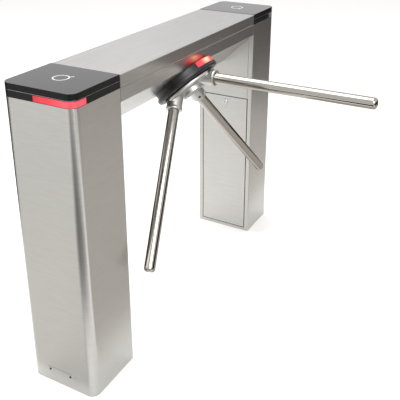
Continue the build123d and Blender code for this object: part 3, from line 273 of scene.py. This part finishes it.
# The same over the rotor, with its lamp close behind: a yellow-white core in red.
ARROW_LENS = Finish(
    "lit_arrow_polycarbonate", "#B01C2A", "#D8303E", 0.0, (0.15, 0.25), 4.0, Grain.EVEN, 0.02,
    glow="#FF3A48", glow_strength=1.3, lamp=(0.0, -0.147, 0.932), lamp_reach=0.06, lamp_core="#FFE9A8",
)
# The same lens with its lamps off: smoky grey and glossy.
DARK_LENS = Finish(
    "unlit_smoke_polycarbonate", "#5A5757", "#726E6E", 0.0, (0.12, 0.2), 4.0, Grain.EVEN, 0.02
)
# Solder mask of the circuit boards: deep green, half gloss.
SOLDER_MASK = Finish("green_solder_mask", "#0C3B22", "#12502F", 0.0, (0.25, 0.4), 2.0, Grain.EVEN, 0.1)
# Undyed nylon of spacers and standoffs: warm white, dull.
NYLON = Finish("natural_nylon", "#D6D2C4", "#E2DECF", 0.0, (0.35, 0.5), 1.0, Grain.EVEN, 0.05)

SLOT_FINISH: dict[str, Finish] = {
    "brushed_steel": POST_STEEL,
    "bridge_steel": BRIDGE_STEEL,
    "polished_steel": TUBE_STEEL,
    "black_glass": BLACK_GLASS,
    "black_plastic": BLACK_ABS,
    "seam_trim": SEAM_STRIP,
    "red_light": RED_LENS,
    "clear_light": DARK_LENS,
    "silver_mark": SILVER_INK,
    "cast_aluminium": CAST_ALUMINIUM,
    "zinc_steel": ZINC,
    "machined_steel": MACHINED,
    "base_steel": GALVANISED,
    "nylon": NYLON,
    "circuit_board": SOLDER_MASK,
    "black_screw": BLACKENED,
    "chrome_lock": CHROME,
    "plate_metal": CAST_ALUMINIUM,
}
NODE_FINISH: dict[str, Finish] = {
    "shroud": SHROUD_ABS,
    "indicator_lens": ARROW_LENS,
}


def only(*objs: bpy.types.Object) -> None:
    """Selects just these objects and makes the first one active."""
    bpy.ops.object.select_all(action="DESELECT")
    for obj in objs:
        obj.select_set(True)
    bpy.context.view_layer.objects.active = objs[0]


def apply_modifier(obj: bpy.types.Object, name: str, kind: str, **settings) -> None:
    """Adds a modifier and applies it at once.

    Args:
        obj: The object, which becomes the active one.
        name: Name of the modifier.
        kind: Its type.
        **settings: Its properties.
    """
    only(obj)
    modifier = obj.modifiers.new(name, kind)
    for key, value in settings.items():
        setattr(modifier, key, value)
    bpy.ops.object.modifier_apply(modifier=name)


def register(obj: bpy.types.Object, body: str, finish: Finish) -> None:
    """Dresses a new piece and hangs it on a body.

    Args:
        obj: The piece.
        body: CAD body that it moves with.
        finish: Its surface.
    """
    obj.data.materials.clear()
    obj.data.materials.append(finish.build())
    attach(obj, body)
    log.info("made %s, %d faces, on %s", obj.name, len(obj.data.polygons), body)


def merged_copy(node: str, name: str) -> bpy.types.Object:
    """Copies a CAD node's mesh into a new object with its corners joined and flat faces whole.

    Args:
        node: CAD node to copy.
        name: Name of the new object.

    Returns:
        The new object.
    """
    obj = bpy.data.objects.new(name, frame["nodes"][node].data.copy())
    bpy.context.scene.collection.objects.link(obj)
    only(obj)
    bpy.ops.object.mode_set(mode="EDIT")
    bpy.ops.mesh.select_all(action="SELECT")
    bpy.ops.mesh.remove_doubles(threshold=JOIN_MM * MM)
    bpy.ops.mesh.dissolve_limited(angle_limit=FLAT)
    bpy.ops.object.mode_set(mode="OBJECT")
    return obj


def shade(obj: bpy.types.Object) -> None:
    """Smooths the rounded edges and keeps the large flat faces flat."""
    only(obj)
    bpy.ops.object.shade_smooth_by_angle(angle=SMOOTH)
    apply_modifier(obj, "flat_faces", "WEIGHTED_NORMAL", keep_sharp=True)


@dataclass(frozen=True)
class SoftEdge:
    """A visible sheet or moulded piece whose sharp edges are eased.

    Attributes:
        node: CAD node that it stands for.
        body: CAD body that it moves with.
        ease_mm: Width of the eased edge.
        steps: Facets across the eased edge.
    """

    node: str
    body: str = "frame"
    ease_mm: float = 0.6
    steps: int = 2

    def build(self, slots: dict[str, str]) -> None:
        """Makes the piece in place of its CAD node.

        Args:
            slots: Material slot of each node.
        """
        obj = merged_copy(self.node, f"{self.node}_eased")
        apply_modifier(
            obj, "ease", "BEVEL", width=self.ease_mm * MM, segments=self.steps, limit_method="ANGLE",
            angle_limit=SHARP, use_clamp_overlap=False, miter_outer="MITER_SHARP",
        )
        shade(obj)
        register(obj, self.body, finish_of(self.node, slots[self.node]))
        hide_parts(self.node)


@dataclass(frozen=True)
class CapGlass:
    """A cap's black glass: a polished top and a ground edge.

    Attributes:
        side: Left or right post.
    """

    side: str

    def build(self, slots: dict[str, str]) -> None:
        """Makes the glass in place of its CAD node.

        Args:
            slots: Material slot of each node; not used here.
        """
        node = f"cap_glass_{self.side}"
        obj = merged_copy(node, f"{node}_ground")
        shade(obj)
        register(obj, "frame", BLACK_GLASS)
        obj.data.materials.append(GROUND_EDGE.build())
        for face in obj.data.polygons:
            face.material_index = 0 if face.normal.z > FACING_UP else 1
        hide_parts(node)


@dataclass(frozen=True)
class CastHub:
    """The rotor's casting: sockets, rim and boss run into each other with cast fillets.

    Attributes:
        cell_mm: Mesh size of the casting.
        blend_steps: Smoothing steps that make the fillets.
    """

    cell_mm: float = 1.5
    blend_steps: int = 9

    def build(self, slots: dict[str, str]) -> None:
        """Makes the casting in place of the CAD hub.

        Args:
            slots: Material slot of each node; not used here.
        """
        obj = merged_copy("hub", "hub_casting")
        apply_modifier(obj, "cells", "REMESH", mode="VOXEL", voxel_size=self.cell_mm * MM)
        apply_modifier(obj, "fillets", "SMOOTH", factor=0.5, iterations=self.blend_steps)
        bpy.ops.object.shade_smooth()
        register(obj, "rotor", CAST_ALUMINIUM)
        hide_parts("hub")


@dataclass(frozen=True)
class PawlSpring:
    """Return spring wound round a pawl's pin, between the rear plate and the pawl.

    Attributes:
        coil_r: Radius of the coil.
        wire_r: Radius of the wire.
        turns: Number of turns.
        turn_steps: Rings of the wire in one turn.
        wire_sides: Sides of the wire.
        clear: Space left at each end.
        pawl_half: Half the pawl's thickness.
        room: Space between the pawl and the plate.
    """

    coil_r: float = 6.2 * MM
    wire_r: float = 0.6 * MM
    turns: int = 4
    turn_steps: int = 24
    wire_sides: int = 10
    clear: float = 0.9 * MM
    pawl_half: float = 4.0 * MM
    room: float = 8.0 * MM

    def build(self, side: str, turn_axis: Vector) -> None:
        """Winds one spring.

        Args:
            side: Left or right.
            turn_axis: Direction of the pawl's pin.
        """
        end = self.clear + self.wire_r
        start = Vector(joint_of(f"pawl_{side}_swing")["pos_m"]) + turn_axis * (self.pawl_half + end)
        length = self.room - 2 * end
        steps = self.turn_steps * self.turns
        bpy.ops.object.select_all(action="DESELECT")
        bpy.ops.mesh.primitive_circle_add(
            vertices=self.wire_sides, radius=self.wire_r, location=(self.coil_r, 0, 0),
            rotation=(math.pi / 2, 0, 0),
        )
        obj = bpy.context.active_object
        obj.name = f"pawl_spring_{side}"
        bpy.ops.object.transform_apply(location=True, rotation=True, scale=True)
        apply_modifier(
            obj, "wind", "SCREW", angle=2 * math.pi * self.turns, screw_offset=length, steps=steps,
            render_steps=steps, use_merge_vertices=False,
        )
        turn = turn_axis.to_track_quat("Z", "X").to_matrix().to_4x4()
        obj.matrix_world = Matrix.Translation(start) @ turn
        only(obj)
        bpy.ops.object.transform_apply(location=True, rotation=True, scale=True)
        bpy.ops.object.mode_set(mode="EDIT")
        bpy.ops.mesh.select_all(action="SELECT")
        bpy.ops.mesh.edge_face_add()
        bpy.ops.mesh.normals_make_consistent(inside=False)
        bpy.ops.object.mode_set(mode="OBJECT")
        bpy.ops.object.shade_smooth_by_angle(angle=SHARP)
        register(obj, "frame", MACHINED)


def joint_of(name: str) -> dict:
    """Joint of the record with this name."""
    return next(joint for joint in frame["record"]["behaviour"]["joints"] if joint["name"] == name)


def finish_of(node: str, slot: str) -> Finish:
    """Finish of a node: its own where it has one, or its slot's."""
    return NODE_FINISH.get(node, SLOT_FINISH[slot])


@dataclass
class Turnstile:
    """The whole object: CAD nodes with their finishes and the pieces that stand for some of them.

    Attributes:
        eased: Pieces whose sharp edges are eased.
        hub: The rotor's casting.
        spring: Return spring of each pawl.
    """

    eased: tuple[SoftEdge, ...] = (
        SoftEdge("post_shell_left"), SoftEdge("post_shell_right"),
        SoftEdge("upper_panel_left"), SoftEdge("upper_panel_right"),
        SoftEdge("door_left", "door_left"), SoftEdge("door_right", "door_right"),
        SoftEdge("corner_lens_left", ease_mm=0.8), SoftEdge("corner_lens_right", ease_mm=0.8),
        SoftEdge("bridge_body", ease_mm=0.7), SoftEdge("bridge_cover", ease_mm=0.7),
        SoftEdge("shroud", ease_mm=1.2, steps=3), SoftEdge("indicator_lens", ease_mm=0.8),
    )
    hub: CastHub = CastHub()
    spring: PawlSpring = PawlSpring()

    def build(self) -> None:
        """Dresses every node and makes the new pieces."""
        slots = {part["node"]: part["material_slot"] for part in frame["record"]["subparts"]}
        for name, obj in frame["nodes"].items():
            obj.data.materials.clear()
            obj.data.materials.append(finish_of(name, slots[name]).build())
        for piece in self.eased:
            piece.build(slots)
        self.hub.build(slots)
        for side in ("left", "right"):
            CapGlass(side).build(slots)
            self.spring.build(side, Vector(joint_of("rotor_spin")["axis"]))


def matt(shader: bpy.types.Node, colour: str) -> None:
    """Makes a shader fully matt in one hex colour."""
    shader.inputs["Base Color"].default_value = linear(colour)
    shader.inputs["Roughness"].default_value = 1.0
    shader.inputs["Specular IOR Level"].default_value = 0.0


@dataclass(frozen=True)
class SoftBox:
    """A square area lamp that faces a point.

    Attributes:
        name: Object name.
        place: Where it stands.
        target: What it faces.
        size: Side of the square.
        watts: Power.
    """

    name: str
    place: Point
    target: Point
    size: float
    watts: float

    def build(self) -> None:
        """Hangs the lamp."""
        bpy.ops.object.light_add(type="AREA", location=self.place)
        lamp = bpy.context.active_object
        lamp.name = self.name
        lamp.data.shape = "SQUARE"
        lamp.data.size = self.size
        lamp.data.energy = self.watts
        lamp.rotation_euler = (Vector(self.target) - Vector(self.place)).to_track_quat("-Z", "Y").to_euler()


@dataclass(frozen=True)
class Flag:
    """A dark card that only reflections see, which gives the metal its darker bands.

    Attributes:
        name: Object name.
        middle: Centre of the card.
        size: Its two sides.
        turn: Its rotation.
        colour: Its hex colour.
    """

    name: str
    middle: Point
    size: tuple[float, float]
    turn: Point
    colour: str

    def build(self) -> None:
        """Stands the card up."""
        bpy.ops.object.select_all(action="DESELECT")
        bpy.ops.mesh.primitive_plane_add(size=1.0, location=self.middle, rotation=self.turn)
        card = bpy.context.active_object
        card.name = self.name
        card.scale = (self.size[0], self.size[1], 1.0)
        card.visible_camera = False
        card.visible_diffuse = False
        card.visible_shadow = False
        card.visible_transmission = False
        material = bpy.data.materials.new(self.name)
        material.use_nodes = True
        shader = material.node_tree.nodes["Principled BSDF"]
        matt(shader, self.colour)
        card.data.materials.append(material)


@dataclass
class Studio:
    """Floor, lights, reflection cards and camera around the turnstile.

    Attributes:
        eye: Camera place.
        yaw: Heading of the view from +X towards +Y, in degrees.
        pitch: How far the view looks down, in degrees.
        lens: Focal length, in millimetres.
        shift: Vertical shift of the frame.
        sensor: Width of the sensor, in millimetres.
        floor_side: Side of the floor.
        boxes: The lamps.
        flags: The reflection cards.
    """

    eye: Point = (-1.8735, -1.1459, 1.5265)
    yaw: float = 28.47
    pitch: float = 21.08
    lens: float = 57.36
    shift: float = -0.2
    sensor: float = 36.0
    floor_side: float = 60.0
    boxes: tuple[SoftBox, ...] = (
        SoftBox("key_box", (-2.6, -2.4, 3.4), (0.0, 0.0, 0.5), 2.4, 90.0),
        SoftBox("top_box", (0.3, 0.8, 3.6), (0.0, 0.0, 0.4), 2.6, 80.0),
    )
    flags: tuple[Flag, ...] = (
        Flag("corner_floor_flag", (-2.22, -0.84, 0.02), (2.55, 1.7), (0, 0, math.radians(25)), "#1F1915"),
        Flag("rear_floor_flag", (-0.4, 1.9, 0.01), (1.6, 1.6), (0, 0, 0), "#2A2725"),
        Flag("end_floor_flag", (-1.6, 0.75, 0.01), (1.8, 1.7), (0, 0, 0), "#D0CFCC"),
        Flag("side_wall_flag", (0.6, -3.0, 0.7), (6.0, 1.4), (math.pi / 2, 0, 0), "#3A3430"),
        Flag("near_floor_flag", (0.8, -1.58, 0.01), (2.6, 2.65), (0, 0, 0), "#BAB6B1"),
        Flag("far_floor_flag", (3.4, -1.8, 0.01), (2.4, 2.2), (0, 0, 0), "#45413E"),
        Flag("beyond_floor_flag", (2.9, 0.9, 0.01), (2.4, 2.6), (0, 0, 0), "#3F3B37"),
        Flag("back_wall_flag", (0.0, 2.6, 0.7), (6.0, 1.4), (math.pi / 2, 0, 0), "#3A3430"),
        Flag("far_wall_flag", (3.9, 0.0, 0.7), (1.4, 5.0), (0, math.pi / 2, 0), "#3A3430"),
    )

    def build(self) -> None:
        """Adds the floor, the lights, the cards and the camera."""
        self.floor()
        self.world()
        for part in (*self.boxes, *self.flags):
            part.build()
        self.camera()
        bpy.context.scene.view_settings.view_transform = "Standard"

    def floor(self) -> None:
        """Adds a wide pale floor under the posts."""
        bpy.ops.object.select_all(action="DESELECT")
        bpy.ops.mesh.primitive_plane_add(size=self.floor_side, location=(0, 0, 0))
        plane = bpy.context.active_object
        plane.name = "studio_floor"
        material = bpy.data.materials.new("pale_studio_floor")
        material.use_nodes = True
        shader = material.node_tree.nodes["Principled BSDF"]
        matt(shader, "#F6F5F4")
        plane.data.materials.append(material)

    def world(self) -> None:
        """Adds an even pale surround."""
        world = bpy.data.worlds.new("studio_surround")
        bpy.context.scene.world = world
        world.use_nodes = True
        background = world.node_tree.nodes["Background"]
        background.inputs["Color"].default_value = linear("#FFFFFF")
        background.inputs["Strength"].default_value = 1.0

    def camera(self) -> None:
        """Adds the camera at the product view's place."""
        bpy.ops.object.camera_add(location=self.eye)
        camera = bpy.context.active_object
        camera.name = "product_camera"
        yaw, pitch = math.radians(self.yaw), math.radians(self.pitch)
        look = Vector((math.cos(yaw) * math.cos(pitch), math.sin(yaw) * math.cos(pitch), -math.sin(pitch)))
        camera.rotation_euler = look.to_track_quat("-Z", "Y").to_euler()
        camera.data.sensor_width = self.sensor
        camera.data.lens = self.lens
        camera.data.shift_y = self.shift
        bpy.context.scene.camera = camera


def main() -> None:
    """Builds the looks in order."""
    Turnstile().build()
    Studio().build()


if __name__ == "__main__":
    main()
